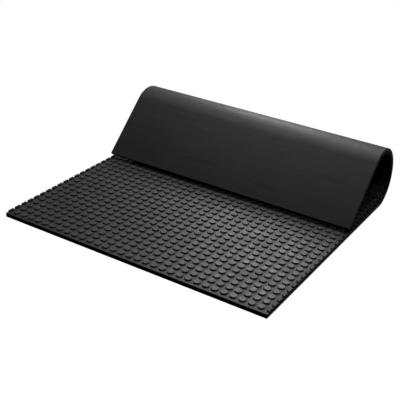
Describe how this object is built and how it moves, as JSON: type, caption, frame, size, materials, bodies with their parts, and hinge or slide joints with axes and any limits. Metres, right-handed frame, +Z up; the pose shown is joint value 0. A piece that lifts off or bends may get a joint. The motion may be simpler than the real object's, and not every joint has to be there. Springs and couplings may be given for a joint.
{
  "type": "seedling heat mat",
  "caption": "Black rubber seedling heat mat with round raised studs and a smooth back, its far end folded back over itself in a tall open loop.",
  "frame": {"origin": "on the floor, in the middle of the folded mat's footprint", "axes": "+X along the fold, towards the right side edge; +Y from the front edge towards the fold; +Z up from the smooth back to the studs"},
  "size_m": [0.6, 0.5724, 0.144],
  "materials": {
    "studded_rubber": "moulded black rubber, matt with a soft sheen on the stud tops",
    "back_rubber": "smooth black rubber with a faint cloth-press texture",
    "cable_silicone": "smooth red silicone sheath",
    "bush_rubber": "matt black rubber",
    "crimp_copper": "tinned copper, dull",
    "lead_sleeve": "matt white silicone sleeve",
    "cutout_case": "moulded cream plastic case",
    "joint_sleeve": "heat-shrunk black sleeve"
  },
  "bodies": {
    "bed": {"bed_studded_cover": "studded_rubber", "bed_back_cover": "back_rubber", "bed_heating_cable": "cable_silicone", "cord_entry_bush": "bush_rubber", "lead_crimps": "crimp_copper", "cutout_lead_in": "lead_sleeve", "thermal_cutout": "cutout_case", "cutout_lead_out": "lead_sleeve", "bypass_lead": "lead_sleeve", "cold_joint": "joint_sleeve"},
    "fold_01": {"fold_01_studded_cover": "studded_rubber", "fold_01_back_cover": "back_rubber", "fold_01_heating_cable": "cable_silicone"},
    "fold_02": {"fold_02_studded_cover": "studded_rubber", "fold_02_back_cover": "back_rubber", "fold_02_heating_cable": "cable_silicone"},
    "fold_03": {"fold_03_studded_cover": "studded_rubber", "fold_03_back_cover": "back_rubber", "fold_03_heating_cable": "cable_silicone"},
    "fold_04": {"fold_04_studded_cover": "studded_rubber", "fold_04_back_cover": "back_rubber", "fold_04_heating_cable": "cable_silicone"},
    "fold_05": {"fold_05_studded_cover": "studded_rubber", "fold_05_back_cover": "back_rubber", "fold_05_heating_cable": "cable_silicone"},
    "fold_06": {"fold_06_studded_cover": "studded_rubber", "fold_06_back_cover": "back_rubber", "fold_06_heating_cable": "cable_silicone"},
    "fold_07": {"fold_07_studded_cover": "studded_rubber", "fold_07_back_cover": "back_rubber", "fold_07_heating_cable": "cable_silicone"},
    "fold_08": {"fold_08_studded_cover": "studded_rubber", "fold_08_back_cover": "back_rubber", "fold_08_heating_cable": "cable_silicone"},
    "fold_09": {"fold_09_studded_cover": "studded_rubber", "fold_09_back_cover": "back_rubber", "fold_09_heating_cable": "cable_silicone"},
    "fold_10": {"fold_10_studded_cover": "studded_rubber", "fold_10_back_cover": "back_rubber", "fold_10_heating_cable": "cable_silicone"},
    "fold_11": {"fold_11_studded_cover": "studded_rubber", "fold_11_back_cover": "back_rubber", "fold_11_heating_cable": "cable_silicone"},
    "fold_12": {"fold_12_studded_cover": "studded_rubber", "fold_12_back_cover": "back_rubber", "fold_12_heating_cable": "cable_silicone"},
    "flap": {"flap_studded_cover": "studded_rubber", "flap_back_cover": "back_rubber", "flap_heating_cable": "cable_silicone", "end_seal": "joint_sleeve"}
  },
  "joints": [
    {"name": "fold_line_01", "type": "hinge", "parent": "bed", "child": "fold_01", "pos_m": [0, 0.24316, 0.0045], "axis": [-1, 0, 0], "range_deg": [0, 28]},
    {"name": "fold_line_02", "type": "hinge", "parent": "fold_01", "child": "fold_02", "pos_m": [0, 0.25971, 0.0133], "axis": [-1, 0, 0], "range_deg": [0, 19]},
    {"name": "fold_line_03", "type": "hinge", "parent": "fold_02", "child": "fold_03", "pos_m": [0, 0.2725, 0.02702], "axis": [-1, 0, 0], "range_deg": [0, 19]},
    {"name": "fold_line_04", "type": "hinge", "parent": "fold_03", "child": "fold_04", "pos_m": [0, 0.28012, 0.04414], "axis": [-1, 0, 0], "range_deg": [0, 19]},
    {"name": "fold_line_05", "type": "hinge", "parent": "fold_04", "child": "fold_05", "pos_m": [0, 0.28176, 0.06282], "axis": [-1, 0, 0], "range_deg": [0, 13.5]},
    {"name": "fold_line_06", "type": "hinge", "parent": "fold_05", "child": "fold_06", "pos_m": [0, 0.27899, 0.08137], "axis": [-1, 0, 0], "range_deg": [0, 13.5]},
    {"name": "fold_line_07", "type": "hinge", "parent": "fold_06", "child": "fold_07", "pos_m": [0, 0.27196, 0.09875], "axis": [-1, 0, 0], "range_deg": [0, 13.5]},
    {"name": "fold_line_08", "type": "hinge", "parent": "fold_07", "child": "fold_08", "pos_m": [0, 0.26108, 0.11402], "axis": [-1, 0, 0], "range_deg": [0, 13.5]},
    {"name": "fold_line_09", "type": "hinge", "parent": "fold_08", "child": "fold_09", "pos_m": [0, 0.24692, 0.12632], "axis": [-1, 0, 0], "range_deg": [0, 13.5]},
    {"name": "fold_line_10", "type": "hinge", "parent": "fold_09", "child": "fold_10", "pos_m": [0, 0.23029, 0.13498], "axis": [-1, 0, 0], "range_deg": [0, 13.5]},
    {"name": "fold_line_11", "type": "hinge", "parent": "fold_10", "child": "fold_11", "pos_m": [0, 0.2121, 0.13951], "axis": [-1, 0, 0], "range_deg": [0, 19.5]},
    {"name": "fold_line_12", "type": "hinge", "parent": "fold_11", "child": "fold_12", "pos_m": [0, 0.19344, 0.13771], "axis": [-1, 0, 0], "range_deg": [0, 19.5]},
    {"name": "fold_line_13", "type": "hinge", "parent": "fold_12", "child": "flap", "pos_m": [0, 0.17644, 0.12979], "axis": [-1, 0, 0], "range_deg": [0, 19.5]}
  ],
  "couplings": [
    {"joint": "fold_line_02", "follows": "fold_line_01", "ratio": 0.67857},
    {"joint": "fold_line_03", "follows": "fold_line_01", "ratio": 0.67857},
    {"joint": "fold_line_04", "follows": "fold_line_01", "ratio": 0.67857},
    {"joint": "fold_line_05", "follows": "fold_line_01", "ratio": 0.48214},
    {"joint": "fold_line_06", "follows": "fold_line_01", "ratio": 0.48214},
    {"joint": "fold_line_07", "follows": "fold_line_01", "ratio": 0.48214},
    {"joint": "fold_line_08", "follows": "fold_line_01", "ratio": 0.48214},
    {"joint": "fold_line_09", "follows": "fold_line_01", "ratio": 0.48214},
    {"joint": "fold_line_10", "follows": "fold_line_01", "ratio": 0.48214},
    {"joint": "fold_line_11", "follows": "fold_line_01", "ratio": 0.69643},
    {"joint": "fold_line_12", "follows": "fold_line_01", "ratio": 0.69643},
    {"joint": "fold_line_13", "follows": "fold_line_01", "ratio": 0.69643}
  ]
}
